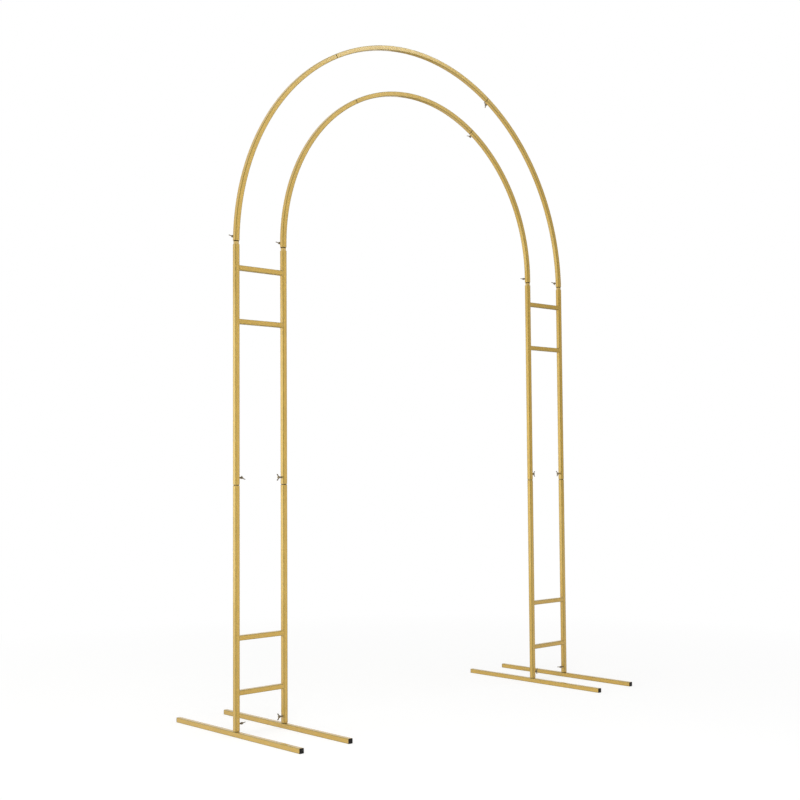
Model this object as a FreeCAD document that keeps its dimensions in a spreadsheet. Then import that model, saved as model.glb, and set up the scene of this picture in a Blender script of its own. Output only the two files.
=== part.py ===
import FreeCAD, Part
import os

import Sketcher

# Metal garden arch: two square steel tubes bent into concentric arches, one inside the other.
# Each arch stands on a vertical leg at either side, made of a lower and an upper upright, and
# every leg stands on its own foot bar. Short rungs join the two legs of a side into a ladder.
# The pieces plug into each other over narrower spigots, and wing screws clamp them.
#
# Frame: X across the passage, Y through it, Z up. The origin is on the ground in the middle.

V = FreeCAD.Vector
Rotation = FreeCAD.Rotation
X_AXIS = V(1, 0, 0)
Y_AXIS = V(0, 1, 0)
Z_AXIS = V(0, 0, 1)

doc = FreeCAD.newDocument("GardenArch")
sheet = doc.addObject("Spreadsheet::Sheet", "Sizes")

SIZES = {
    "span": (1500.0, "between the centre lines of the two outer legs"),
    "leg_spacing": (178.0, "between the centre lines of the outer and the inner leg of a side"),
    "spring_rise": (1460.0, "ground to the top of the upper uprights"),
    "inner_lift": (24.5, "straight stretch that lifts the bend of the inner arch"),
    "mid_rise": (737.0, "ground to the top of the lower uprights"),
    "tube_side": (15.0, "outside of the square tube of uprights, arches and rungs"),
    "tube_wall": (1.0, "its wall"),
    "tube_corner": (0.6, "flat that stands for its rounded corners"),
    "foot_side": (15.0, "outside of the square tube of the foot bars"),
    "foot_wall": (1.0, "its wall"),
    "foot_corner": (0.6, "flat that stands for its rounded corners"),
    "foot_length": (612.0, "foot bar without its end caps"),
    "cap_flange": (2.0, "thickness of the cap that shows on the end of a foot bar"),
    "cap_plug": (14.0, "depth of the plug of a cap"),
    "cap_wall": (1.6, "wall of the hollow plug"),
    "cap_edge": (0.6, "bevel round the outer face of the cap"),
    "rung_low": (112.5, "foot bar up to the centre line of the lowest rung"),
    "rung_knee": (272.5, "foot bar up to the centre line of the second rung"),
    "rung_chest": (232.5, "top of the legs down to the centre line of the third rung"),
    "rung_high": (70.5, "top of the legs down to the centre line of the highest rung"),
    "fit": (0.25, "clearance on each side between a spigot or plug and the tube around it"),
    "spigot_wall": (1.0, "wall of the spigots"),
    "spigot_depth": (40.0, "length of a spigot inside the tube that holds it"),
    "spigot_reach": (40.0, "length of a spigot inside the tube that slides over it"),
    "foot_gap": (1.5, "spigot that shows between the foot bar and the lower upright"),
    "mid_gap": (2.5, "spigot that shows between the lower and the upper upright"),
    "spring_gap": (11.0, "spigot that shows between the upper upright and the arch"),
    "crown_gap": (2.5, "spigot that shows beside the crown of an arch"),
    "side_angle": (61.5, "angle of the side segments of an arch in degrees"),
    "spring_screw": (16.0, "lower end of an arch to its screw"),
    "joint_screw": (20.5, "end of any other sliding tube to its screw"),
    "screw_diameter": (5.0, "shank of the wing screws"),
    "screw_hole": (5.4, "hole for the shank in the sliding tube"),
    "screw_stand": (9.0, "shank that shows between the tube and the hub"),
    "hub_width": (8.0, "eight-sided hub of the wing screws"),
    "hub_height": (7.0, "height of the hub"),
    "wing_span": (20.0, "over both wings"),
    "wing_height": (11.0, "from the foot of the hub to the tips of the wings"),
    "wing_root": (3.0, "height at which the lower edge of a wing leaves the hub"),
    "wing_width": (5.5, "width of a wing near its tip"),
    "wing_thickness": (2.4, "thickness of the wings"),
    "wing_round": (1.6, "flat that takes the corners off the tips of the wings"),
}
for row, (name, (size, meaning)) in enumerate(SIZES.items(), start=1):
    sheet.set("A%d" % row, name)
    sheet.set("B%d" % row, "%g" % size)
    sheet.set("C%d" % row, meaning)
    sheet.setAlias("B%d" % row, name)
doc.recompute()

# Sizes that follow from the ones above. Each is a formula over the named cells.
RINGS = ("outer", "inner")
SIDES = {"left": -1, "right": 1}
HALF = {"outer": "(Sizes.span / 2)", "inner": "(Sizes.span / 2 - Sizes.leg_spacing)"}
LIFT = {"outer": "0", "inner": "Sizes.inner_lift"}
FOOT_SOCKET = "(Sizes.foot_side + Sizes.foot_gap)"
MID_SOCKET = "(Sizes.mid_rise + Sizes.mid_gap)"
RUNGS = {"low": "(Sizes.foot_side + Sizes.rung_low)",
         "knee": "(Sizes.foot_side + Sizes.rung_knee)",
         "chest": "(Sizes.spring_rise - Sizes.rung_chest)",
         "high": "(Sizes.spring_rise - Sizes.rung_high)"}
BORE = "(Sizes.tube_side - 2 * Sizes.tube_wall)"
SPIGOT = "(%s - 2 * Sizes.fit)" % BORE
CAP_PLUG = "(Sizes.foot_side - 2 * Sizes.foot_wall - 2 * Sizes.fit)"
CAP_OUT = "(Sizes.foot_length / 2)"
SCREW_LENGTH = "((Sizes.tube_side - %s) / 2 + Sizes.screw_stand)" % SPIGOT
HUB_CUT = "(Sizes.hub_width / (2 + sqrt(2)))"

# Sections: outside, corner flat and wall.
TUBE = ("Sizes.tube_side", "Sizes.tube_corner", "Sizes.tube_wall")
FOOT = ("Sizes.foot_side", "Sizes.foot_corner", "Sizes.foot_wall")
SPIGOT_TUBE = (SPIGOT, None, "Sizes.spigot_wall")
PLUG = (CAP_PLUG, None, "Sizes.cap_wall")


def value(formula):
    """Number that a formula over the sheet gives now."""
    result = sheet.evalExpression(formula)
    return float(getattr(result, "Value", result))


def degrees(length, radius):
    """Formula for the angle that a length takes on an arc, in degrees."""
    return "((%s) / %s * 180 / pi)" % (length, radius)


# Angles of an arch, measured up from the ground plane of its side. The bend of the outer arch
# starts at the top of its leg, and that of the inner arch after a straight stretch.
CENTRE = {ring: "Sizes.spring_rise + " + LIFT[ring] for ring in RINGS}
STRETCH = {"outer": "0", "inner": "(Sizes.inner_lift - Sizes.spring_gap)"}
START = {"outer": degrees("Sizes.spring_gap", HALF["outer"]), "inner": "0"}
CROWN_END = {ring: degrees("Sizes.crown_gap / 2", HALF[ring]) for ring in RINGS}
LOW_SCREW = {ring: "(%s + %s)" % (START[ring],
                                  degrees("Sizes.spring_screw - " + STRETCH[ring], HALF[ring]))
             for ring in RINGS}
HIGH_SCREW = {ring: "(Sizes.side_angle - %s - %s)" % (CROWN_END[ring],
                                                      degrees("Sizes.joint_screw", HALF[ring]))
              for ring in RINGS}


def place(thing, x="0", y="0", z="0", axis=Z_AXIS, angle="0"):
    """Puts a sub-part at a place given by formulas, turned about one axis."""
    thing.Placement = FreeCAD.Placement(V(0, 0, 0), Rotation(axis, value(angle)))
    for name, formula in (("x", x), ("y", y), ("z", z)):
        thing.setExpression("Placement.Base." + name, formula)


def new_body(label):
    body = doc.addObject("PartDesign::Body", label)
    body.Label = label
    return body


def origin_feature(body, role):
    return [feature for feature in body.Origin.OriginFeatures if feature.Role == role][0]


def new_sketch(body, plane, name):
    sketch = body.newObject("Sketcher::SketchObject", name)
    sketch.AttachmentSupport = [(origin_feature(body, plane), "")]
    sketch.MapMode = "FlatFace"
    return sketch


def constrain(sketch, kind, *where, name=None, formula=None):
    """Adds a constraint, and ties its size to a formula where one is given."""
    if formula is None:
        sketch.addConstraint(Sketcher.Constraint(kind, *where))
        return
    index = sketch.addConstraint(Sketcher.Constraint(kind, *where, value(formula)))
    sketch.renameConstraint(index, name)
    sketch.setExpression("Constraints." + name, formula)


def from_axis(sketch, kind, point, name, formula, side=1):
    """Ties how far a point of the sketch lies from an axis, on the side given."""
    ends = (-1, 1) + point if side > 0 else point + (-1, 1)
    constrain(sketch, kind, *ends, name=name, formula=formula)


def polygon(sketch, points):
    """Closed outline through the points, as joined lines."""
    lines = []
    for start, end in zip(points, points[1:] + points[:1]):
        lines.append(sketch.addGeometry(Part.LineSegment(start, end), False))
    for index, line in enumerate(lines):
        constrain(sketch, "Coincident", line, 2, lines[(index + 1) % len(lines)], 1)
    return lines


def square(sketch, centre, side, cut, name):
    """Square about a point of the sketch. A cut takes its corners off, as a flat across each."""
    reach = value(side) / 2
    flat = reach - (value(cut) if cut else 0)
    middle = sketch.getPoint(centre, 1)
    ends = ((-flat, -reach), (flat, -reach), (reach, -flat), (reach, flat),
            (flat, reach), (-flat, reach), (-reach, flat), (-reach, -flat))
    kept = ends if cut else ends[::2]
    lines = polygon(sketch, [middle + V(x, y, 0) for x, y in kept])
    walls = lines[::2] if cut else lines
    for wall, kind in zip(walls, ("Horizontal", "Vertical", "Horizontal", "Vertical")):
        constrain(sketch, kind, wall)
    constrain(sketch, "Equal", walls[0], walls[1])
    constrain(sketch, "Symmetric", walls[0], 1, walls[2], 1, centre, 1)
    constrain(sketch, "DistanceX", walls[3], 1, walls[1], 1, name=name + "Side", formula=side)
    if cut:
        for index, corner in enumerate(lines[1::2]):
            rising = index in (0, 1)
            leftwards = index in (1, 2)
            across = (corner, 2, corner, 1) if leftwards else (corner, 1, corner, 2)
            along = (corner, 1, corner, 2) if rising else (corner, 2, corner, 1)
            word = name + "Cut" + str(index)
            constrain(sketch, "DistanceX", *across, name=word + "Across", formula=cut)
            constrain(sketch, "DistanceY", *along, name=word + "Along", formula=cut)


def section_sketch(body, section, radius=None, side=1):
    """Section of a square tube, about the origin or at a radius along X."""
    outside, corner, wall = section
    sketch = new_sketch(body, "XY_Plane", "Section")
    away = side * value(radius) if radius else 0
    centre = sketch.addGeometry(Part.Point(V(away, 0, 0)), True)
    if radius:
        constrain(sketch, "PointOnObject", centre, 1, -1)
        from_axis(sketch, "DistanceX", (centre, 1), "Radius", radius, side)
    else:
        constrain(sketch, "Coincident", centre, 1, -1, 1)
    square(sketch, centre, outside, corner, "Outer")
    if wall:
        square(sketch, centre, "(%s - 2 * %s)" % (outside, wall), None, "Bore")
    return sketch


def pad(body, sketch, length, down=False, midplane=False):
    """Draws a section out straight."""
    feature = body.newObject("PartDesign::Pad", "Pad")
    feature.Profile = sketch
    feature.setExpression("Length", length)
    feature.Reversed = down
    feature.Midplane = midplane
    return feature


def bend(body, sketch, angle, side):
    """Carries a section upwards round the Y axis of its body."""
    feature = body.newObject("PartDesign::Revolution", "Bend")
    feature.Profile = sketch
    feature.ReferenceAxis = (origin_feature(body, "Y_Axis"), [""])
    feature.setExpression("Angle", angle)
    feature.Reversed = side > 0
    return feature


def drill(body, plane, across, along, name, side=1):
    """Hole for a screw through one wall of a tube, ahead of the chosen plane."""
    doc.recompute()
    before = body.Shape.Volume
    sketch = new_sketch(body, plane, name + "Sketch")
    middle = V(side * value(across), value(along), 0)
    hole = sketch.addGeometry(Part.Circle(middle, Z_AXIS, value("Sizes.screw_hole / 2")), False)
    constrain(sketch, "Diameter", hole, name="Hole", formula="Sizes.screw_hole")
    if across == "0":
        constrain(sketch, "PointOnObject", hole, 3, -2)
    else:
        from_axis(sketch, "DistanceX", (hole, 3), "Across", across, side)
    from_axis(sketch, "DistanceY", (hole, 3), "Along", along)
    pocket = body.newObject("PartDesign::Pocket", name)
    pocket.Profile = sketch
    pocket.setExpression("Length", "Sizes.tube_side")
    pocket.Reversed = plane == "YZ_Plane"
    doc.recompute()
    assert body.Shape.Volume < before, "the hole misses the tube of " + body.Label


def foot_bar(label, x):
    body = new_body(label)
    pad(body, section_sketch(body, FOOT), "Sizes.foot_length", midplane=True)
    place(body, x=x, z="Sizes.foot_side / 2", axis=X_AXIS, angle="90")


def upright(label, x, bottom, top, inwards):
    """Straight tube with a screw hole near its lower end, in the side of the ladder gap."""
    body = new_body(label)
    pad(body, section_sketch(body, TUBE), "%s - %s" % (top, bottom))
    drill(body, "YZ_Plane", "0", "Sizes.joint_screw", "ScrewHole")
    place(body, x=x, z=bottom, angle="0" if inwards > 0 else "180")


def rung(label, x, z):
    body = new_body(label)
    pad(body, section_sketch(body, TUBE), "Sizes.leg_spacing - Sizes.tube_side", midplane=True)
    place(body, x=x, z=z, axis=Y_AXIS, angle="90")


def side_segment(label, ring, side):
    """Bent tube from the leg to the crown joint of an arch, drilled at both ends."""
    radius = HALF[ring]
    body = new_body(label)
    sweep = "(Sizes.side_angle - %s - %s)" % (START[ring], CROWN_END[ring])
    bend(body, section_sketch(body, TUBE, radius, side), sweep, side)
    if STRETCH[ring] != "0":
        pad(body, section_sketch(body, TUBE, radius, side), STRETCH[ring], down=True)
    for name, screw in (("LowHole", LOW_SCREW[ring]), ("HighHole", HIGH_SCREW[ring])):
        angle = "(%s - %s)" % (screw, START[ring])
        drill(body, "XZ_Plane", "%s * cos(%s)" % (radius, angle),
              "%s * sin(%s)" % (radius, angle), name, side)
    place(body, z=CENTRE[ring], axis=V(0, -side, 0), angle=START[ring])


def crown_segment(label, ring):
    """Bent tube over the top of an arch, between its two crown joints."""
    body = new_body(label)
    sweep = "(180 - 2 * Sizes.side_angle - 2 * %s)" % CROWN_END[ring]
    bend(body, section_sketch(body, TUBE, HALF[ring]), sweep, 1)
    place(body, z=CENTRE[ring], axis=V(0, -1, 0), angle="Sizes.side_angle + " + CROWN_END[ring])


def straight_spigot(name, length):
    body = new_body(name)
    pad(body, section_sketch(body, SPIGOT_TUBE), length)
    return body


def spring_spigot(name, ring):
    """Spigot that stands in an upper upright and follows the arch above it."""
    radius = HALF[ring]
    body = new_body(name)
    above = "(Sizes.spring_gap + Sizes.spigot_reach - %s)" % LIFT[ring]
    bend(body, section_sketch(body, SPIGOT_TUBE, radius), degrees(above, radius), 1)
    pad(body, section_sketch(body, SPIGOT_TUBE, radius),
        "(Sizes.spigot_depth + %s)" % LIFT[ring], down=True)
    return body


def crown_spigot(name, ring):
    """Bent spigot held in the end of a crown segment, which a side segment slides over."""
    body = new_body(name)
    length = "(Sizes.spigot_reach + Sizes.crown_gap + Sizes.spigot_depth)"
    bend(body, section_sketch(body, SPIGOT_TUBE, HALF[ring]), degrees(length, HALF[ring]), 1)
    return body


def end_cap(name):
    """Square plastic cap with a hollow plug, its flange facing down."""
    body = new_body(name)
    flange = section_sketch(body, FOOT[:2] + (None,))
    pad(body, flange, "Sizes.cap_flange", down=True)
    pad(body, section_sketch(body, PLUG), "Sizes.cap_plug")
    doc.recompute()
    base = body.Tip
    faces = base.Shape.Faces
    lowest = min(range(len(faces)), key=lambda number: faces[number].CenterOfMass.z)
    rim = body.newObject("PartDesign::Chamfer", "Rim")
    rim.Base = (base, ["Face%d" % (lowest + 1)])
    rim.setExpression("Size", "Sizes.cap_edge")
    return body


def wing_screw(name):
    """Screw that stands on its tip: a shank, a hub on it and two wings that spread upwards."""
    body = new_body(name)
    shank = new_sketch(body, "XY_Plane", "Shank")
    circle = Part.Circle(V(0, 0, 0), Z_AXIS, value("Sizes.screw_diameter / 2"))
    outline = shank.addGeometry(circle, False)
    constrain(shank, "Coincident", outline, 3, -1, 1)
    constrain(shank, "Diameter", outline, name="Shank", formula="Sizes.screw_diameter")
    pad(body, shank, SCREW_LENGTH)
    hub = section_sketch(body, ("Sizes.hub_width", HUB_CUT, None))
    hub.setExpression("AttachmentOffset.Base.z", SCREW_LENGTH)
    pad(body, hub, "Sizes.hub_height")
    wings(body)
    return body


def wings(body):
    """Two flat wings, drawn in the plane of the axis of the screw."""
    half = "(Sizes.wing_span / 2)"
    foot = SCREW_LENGTH
    outline = (("(Sizes.hub_width / 4)", foot + " + Sizes.wing_root"),
               (half, foot + " + Sizes.wing_height - Sizes.wing_width"),
               (half, foot + " + Sizes.wing_height - Sizes.wing_round"),
               (half + " - Sizes.wing_round", foot + " + Sizes.wing_height"),
               (half + " - Sizes.wing_width / 2", foot + " + Sizes.wing_height"),
               ("(Sizes.hub_width / 4)", foot + " + Sizes.hub_height"))
    sketch = new_sketch(body, "XZ_Plane", "Wings")
    for side, word in ((1, "Right"), (-1, "Left")):
        points = [V(side * value(across), value(along), 0) for across, along in outline]
        lines = polygon(sketch, points)
        for line, (across, along) in zip(lines, outline):
            name = word + str(line)
            from_axis(sketch, "DistanceX", (line, 1), name + "Across", across, side)
            from_axis(sketch, "DistanceY", (line, 1), name + "Along", along)
    pad(body, sketch, "Sizes.wing_thickness", midplane=True)


def copies(label, items):
    """Sub-part made of copies of the templates, each at its own place and turn."""
    doc.recompute()
    solids = []
    for template, position, rotation in items:
        solid = template.Shape.copy()
        solid.Placement = FreeCAD.Placement(position, rotation)
        solids.append(solid)
    thing = doc.addObject("Part::Feature", label)
    thing.Label = label
    thing.Shape = Part.Compound(solids) if len(solids) > 1 else solids[0]
    return thing


def arc_point(ring, side, angle, away):
    """Point of the centre line of an arch at an angle, moved out along Y."""
    radius = value(HALF[ring])
    turn = Rotation(Y_AXIS, -value(angle)).multVec(X_AXIS) * radius
    return V(side * turn.x, away, turn.z + value(CENTRE[ring]))


# Legs, feet and rungs.
for side_name, side in SIDES.items():
    for ring in RINGS:
        spot = "%d * %s" % (side, HALF[ring])
        inwards = -side if ring == "outer" else side
        foot_bar("foot_bar_%s_%s" % (side_name, ring), spot)
        upright("lower_upright_%s_%s" % (side_name, ring), spot, FOOT_SOCKET,
                "Sizes.mid_rise", inwards)
        upright("upper_upright_%s_%s" % (side_name, ring), spot, MID_SOCKET,
                "Sizes.spring_rise", inwards)
    middle = "%d * (Sizes.span - Sizes.leg_spacing) / 2" % side
    for level, height in RUNGS.items():
        rung("rung_%s_%s" % (side_name, level), middle, height)

# The two arches, in three segments each.
for ring in RINGS:
    for side_name, side in SIDES.items():
        side_segment("arch_%s_%s" % (ring, side_name), ring, side)
    crown_segment("arch_%s_crown" % ring, ring)

# Spigots, end caps and wing screws are like pieces: each is made once and copied.
LEGS = [(side, ring) for side in SIDES.values() for ring in RINGS]
foot_spigot = straight_spigot("foot_spigot_template", "Sizes.foot_gap + Sizes.spigot_reach")
mid_spigot = straight_spigot("mid_spigot_template",
                             "Sizes.spigot_depth + Sizes.mid_gap + Sizes.spigot_reach")
copies("foot_spigots", [(foot_spigot, V(side * value(HALF[ring]), 0, value("Sizes.foot_side")),
                         Rotation()) for side, ring in LEGS])
copies("mid_spigots", [(mid_spigot, V(side * value(HALF[ring]), 0,
                                      value("Sizes.mid_rise - Sizes.spigot_depth")),
                        Rotation()) for side, ring in LEGS])

spring_items = []
crown_items = []
for ring in RINGS:
    spring = spring_spigot("spring_spigot_template_" + ring, ring)
    crown = crown_spigot("crown_spigot_template_" + ring, ring)
    low = "Sizes.side_angle - " + degrees("Sizes.crown_gap / 2 + Sizes.spigot_reach", HALF[ring])
    lean = Rotation(Y_AXIS, -value(low))
    for side in SIDES.values():
        face = Rotation(Z_AXIS, 0 if side > 0 else 180)
        at = V(0, 0, value(CENTRE[ring]))
        spring_items.append((spring, at, face))
        crown_items.append((crown, at, face.multiply(lean)))
copies("spring_spigots", spring_items)
copies("crown_spigots", crown_items)

cap = end_cap("end_cap_template")
for side_name, side in SIDES.items():
    for ring in RINGS:
        items = []
        for end in (-1, 1):
            at = V(side * value(HALF[ring]), end * value(CAP_OUT), value("Sizes.foot_side / 2"))
            items.append((cap, at, Rotation(X_AXIS, end * 90)))
        copies("end_caps_%s_%s" % (side_name, ring), items)

# Degrees by which the wings of each screw are turned, in the order of the legs. The wings of
# the legs start upright and those of the arches level.
TURNS = {"foot": (65, 0, 90, 10), "mid": (-60, 0, 10, 0),
         "spring": (25, 20, 25, 5), "crown": (-28, -28, 80, 10)}
screw = wing_screw("wing_screw_template")
tip_out = value(SPIGOT) / 2
for name, socket in (("foot", FOOT_SOCKET), ("mid", MID_SOCKET)):
    height = socket + " + Sizes.joint_screw"
    items = []
    for (side, ring), turned in zip(LEGS, TURNS[name]):
        inwards = -side if ring == "outer" else side
        at = V(side * value(HALF[ring]) + inwards * tip_out, 0, value(height))
        turn = Rotation(Z_AXIS, turned)
        items.append((screw, at, Rotation(Y_AXIS, inwards * 90).multiply(turn)))
    copies(name + "_wing_screws", items)
for name, angles in (("spring", LOW_SCREW), ("crown", HIGH_SCREW)):
    items = []
    for (side, ring), turned in zip(LEGS, TURNS[name]):
        at = arc_point(ring, side, angles[ring], tip_out)
        turn = Rotation(Z_AXIS, turned)
        items.append((screw, at, Rotation(X_AXIS, -90).multiply(turn)))
    copies(name + "_wing_screws", items)

doc.recompute()
sub_parts = [thing for thing in doc.Objects
             if thing.TypeId in ("PartDesign::Body", "Part::Feature")
             and "template" not in thing.Label]
for thing in doc.Objects:
    if "Invalid" in thing.State or "Error" in thing.State:
        raise RuntimeError("failed: " + thing.Label)
for thing in sub_parts:
    if thing.Shape.isNull() or not thing.Shape.isValid():
        raise RuntimeError("bad shape: " + thing.Label)

os.makedirs("parts", exist_ok=True)
for thing in sub_parts:
    thing.Shape.exportStep("parts/%s.step" % thing.Label)
    box = thing.Shape.BoundBox
    print("%-28s solids %d volume %9.0f  x %7.1f %7.1f  y %6.1f %6.1f  z %6.1f %6.1f" % (
        thing.Label, len(thing.Shape.Solids), thing.Shape.Volume,
        box.XMin, box.XMax, box.YMin, box.YMax, box.ZMin, box.ZMax))
print("sub-parts:", len(sub_parts))
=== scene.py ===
# %% [markdown]
# # A garden arch of square metal tube
# The real arch comes as a flat pack: short lengths of light square tube, some straight and some
# bent, that plug into each other over narrower tubes and are clamped by wing screws. This lesson
# dresses the plain solids of its construction. It rebuilds the tubes with rounded corners, adds
# the joints, screws, caps and welds as they look up close, and gives each one its finish.

# %% Load the solids
import math

import bmesh
import bpy
from mathutils import Matrix, Vector


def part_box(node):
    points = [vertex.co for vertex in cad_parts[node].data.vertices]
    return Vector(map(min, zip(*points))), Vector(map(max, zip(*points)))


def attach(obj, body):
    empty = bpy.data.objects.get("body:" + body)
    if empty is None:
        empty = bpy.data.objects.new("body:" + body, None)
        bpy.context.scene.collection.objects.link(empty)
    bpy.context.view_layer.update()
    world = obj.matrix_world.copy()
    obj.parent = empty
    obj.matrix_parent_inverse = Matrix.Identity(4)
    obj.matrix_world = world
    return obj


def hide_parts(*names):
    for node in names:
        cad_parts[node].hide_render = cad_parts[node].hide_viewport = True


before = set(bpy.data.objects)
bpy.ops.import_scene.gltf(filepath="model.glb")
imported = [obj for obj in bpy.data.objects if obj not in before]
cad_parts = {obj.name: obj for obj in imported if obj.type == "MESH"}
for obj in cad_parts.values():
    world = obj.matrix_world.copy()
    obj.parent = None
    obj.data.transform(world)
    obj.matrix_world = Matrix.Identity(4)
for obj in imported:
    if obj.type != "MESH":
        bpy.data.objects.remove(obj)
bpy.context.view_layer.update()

# %% [markdown]
# ## Sizes
# All sizes are in metres, in the frame of the solids: X across the passage, Y through it and Z
# up, with the origin on the ground. The straight pieces read their place from the boxes of their
# solids. Only what a box can't tell, such as a bend, is written here again.

# %% Sizes of the arch
MM = 0.001
SIDES = {"left": -1, "right": 1}
RINGS = ("outer", "inner")
LEGS = [(side, ring) for side in SIDES.values() for ring in RINGS]
HALF = {"outer": 750 * MM, "inner": 572 * MM}
LIFT = {"outer": 0.0, "inner": 24.5 * MM}
SPRING = 1460 * MM
CENTRE = {ring: SPRING + LIFT[ring] for ring in RINGS}
CROWN = math.radians(61.5)
TUBE = {"Side": 15 * MM, "Wall": 1 * MM, "Corner": 1.4 * MM}
SPIGOT = {"Side": 12.5 * MM, "Wall": 1 * MM, "Corner": 1.2 * MM}
SPIGOT_DEPTH = 40 * MM
FOOT_GAP = 1.5 * MM
MID_GAP = 2.5 * MM
SPRING_GAP = 11 * MM
CROWN_GAP = 2.5 * MM
SPRING_SCREW = 16 * MM
JOINT_SCREW = 20.5 * MM
HOLE_RADIUS = 2.7 * MM
print("legs:", [side * HALF[ring] for side, ring in LEGS])

# %% [markdown]
# ## Helpers for node trees
# Shaders and Geometry Nodes are both trees of nodes. Written out, each node takes a line to make
# and a line for each link, so a few small helpers do that: they start a tree with named sockets,
# add a node with its inputs, and add sums. An input is fed with a value, with another node's
# first output, or with an output by its name.

# %% Helpers for node trees
def new_group(name, kind, takes, gives):
    """Starts a node group. Each input is given by its kind, or by a number as its default."""
    tree = bpy.data.node_groups.new(name, kind)
    for label, default in takes.items():
        socket = {float: "Float", int: "Int"}.get(type(default), default)
        item = tree.interface.new_socket(label, in_out="INPUT", socket_type="NodeSocket" + socket)
        if socket != default:
            item.default_value = default
    for label, socket in gives.items():
        tree.interface.new_socket(label, in_out="OUTPUT", socket_type="NodeSocket" + socket)
    given = tree.nodes.new("NodeGroupInput").outputs
    made = tree.nodes.new("NodeGroupOutput").inputs
    return tree, given, made


def plug(tree, feed, socket):
    """Feeds an input with a node's first output, with any output, or with a plain value."""
    if isinstance(feed, bpy.types.Node):
        feed = feed.outputs[0]
    if isinstance(feed, bpy.types.NodeSocket):
        tree.links.new(feed, socket)
    else:
        socket.default_value = feed


def add(tree, kind, feeds=None, **settings):
    """Adds a node with its settings and feeds its inputs, by name or number."""
    node = tree.nodes.new(kind)
    for name, setting in settings.items():
        setattr(node, name, setting)
    for name, feed in (feeds or {}).items():
        for part in feed if isinstance(feed, list) else [feed]:
            plug(tree, part, node.inputs[name])
    return node


def maths(tree, operation, *feeds):
    """Adds a sum."""
    return add(tree, "ShaderNodeMath", dict(enumerate(feeds)), operation=operation)


def product(tree, value, *others):
    """Multiplies values one after another."""
    for other in others:
        value = maths(tree, "MULTIPLY", value, other)
    return value


def span(tree, value, low, high, first=0.0, last=1.0):
    """Carries a value from one range to another."""
    feeds = {"Value": value, "From Min": low, "From Max": high, "To Min": first, "To Max": last}
    return add(tree, "ShaderNodeMapRange", feeds)


print("helpers ready")

# %% [markdown]
# ## Camera
# The picture is taken from the left and in front, at about the height of a chest, through a long
# lens. The numbers come from matching the legs, the rungs, the foot bars and both arches.

# %% Camera
EYE = Vector((-2.9387, -3.0585, 0.7853))
YAW, PITCH, ROLL = 0.7513, -0.0543, 0.0075
LENS = 56.37


def new_object(name, data):
    """Puts an object in the scene."""
    thing = bpy.data.objects.new(name, data)
    bpy.context.scene.collection.objects.link(thing)
    return thing


ahead = Vector((math.sin(YAW) * math.cos(PITCH), math.cos(YAW) * math.cos(PITCH),
                -math.sin(PITCH)))
right = Vector((math.cos(YAW), -math.sin(YAW), 0))
down = ahead.cross(right)
picture_right = math.cos(ROLL) * right + math.sin(ROLL) * down
picture_down = math.cos(ROLL) * down - math.sin(ROLL) * right
camera_data = bpy.data.cameras.new("camera")
camera_data.lens = LENS
camera_data.sensor_width = 36
camera_data.clip_end = 100
camera = new_object("camera", camera_data)
turn = Matrix((picture_right, -picture_down, -ahead)).transposed().to_4x4()
camera.matrix_world = Matrix.Translation(EYE) @ turn
bpy.context.scene.camera = camera
bpy.context.scene.view_settings.view_transform = "Standard"
print("camera at", tuple(round(value, 3) for value in EYE))

# %% [markdown]
# ## Background
# The arch stands in front of a plain white background. It is the world, which the camera sees
# as white, while it lights the paint more softly. What a gloss mirrors is white as well, but for
# two dark parts of the room. The corner of a tube that points at the camera mirrors the room
# behind it, and so shows as a dark line between two bright faces. The fronts of the far legs
# mirror the wall on the right, and look deeper in colour than those of the near legs.

# %% Background
SKY_LIGHT = 0.42
ROOM_SHADE = 0.9
BEHIND_CAMERA = tuple(-part for part in ahead)
RIGHT_WALL = (0.958, -0.287, 0.0)


def light_path_white(tree):
    """1 for what the camera or a gloss sees, and 0 for the light that falls on the paint."""
    path = add(tree, "ShaderNodeLightPath").outputs
    seen = maths(tree, "MAXIMUM", path["Is Camera Ray"], path["Is Glossy Ray"])
    return maths(tree, "MAXIMUM", seen, path["Is Transmission Ray"])


def towards(tree, way, aim):
    """How far a vector reaches in a direction."""
    return add(tree, "ShaderNodeVectorMath", {0: way, 1: aim},
               operation="DOT_PRODUCT").outputs["Value"]


def dark_room(tree):
    """1 towards the dark parts of the room and 0 elsewhere, for a gloss only."""
    way = add(tree, "ShaderNodeTexCoord").outputs["Generated"]
    inside = 0.0
    for place, edge, full in ((BEHIND_CAMERA, 0.3, 0.75), (RIGHT_WALL, 0.8, 0.95)):
        inside = maths(tree, "MAXIMUM", inside, span(tree, towards(tree, way, place), edge, full))
    return product(tree, inside, add(tree, "ShaderNodeLightPath").outputs["Is Glossy Ray"])


world = bpy.data.worlds.new("studio")
bpy.context.scene.world = world
world.use_nodes = True
sky = world.node_tree
background = sky.nodes["Background"]
background.inputs["Color"].default_value = (1, 1, 1, 1)
bright = span(sky, light_path_white(sky), 0.0, 1.0, SKY_LIGHT, 1.0)
kept = span(sky, dark_room(sky), 0.0, 1.0, 1.0, 1.0 - ROOM_SHADE)
plug(sky, product(sky, bright, kept), background.inputs["Strength"])
print("background lights at", SKY_LIGHT)

# %% [markdown]
# ## Floor
# The floor is plain white as well. It takes the shadow of the arch, and glows more and more
# further out until it is the background, so no horizon shows. A gloss sees it dark far behind
# the arch: the undersides of the arches mirror that part, and are darker than their fronts.

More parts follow.
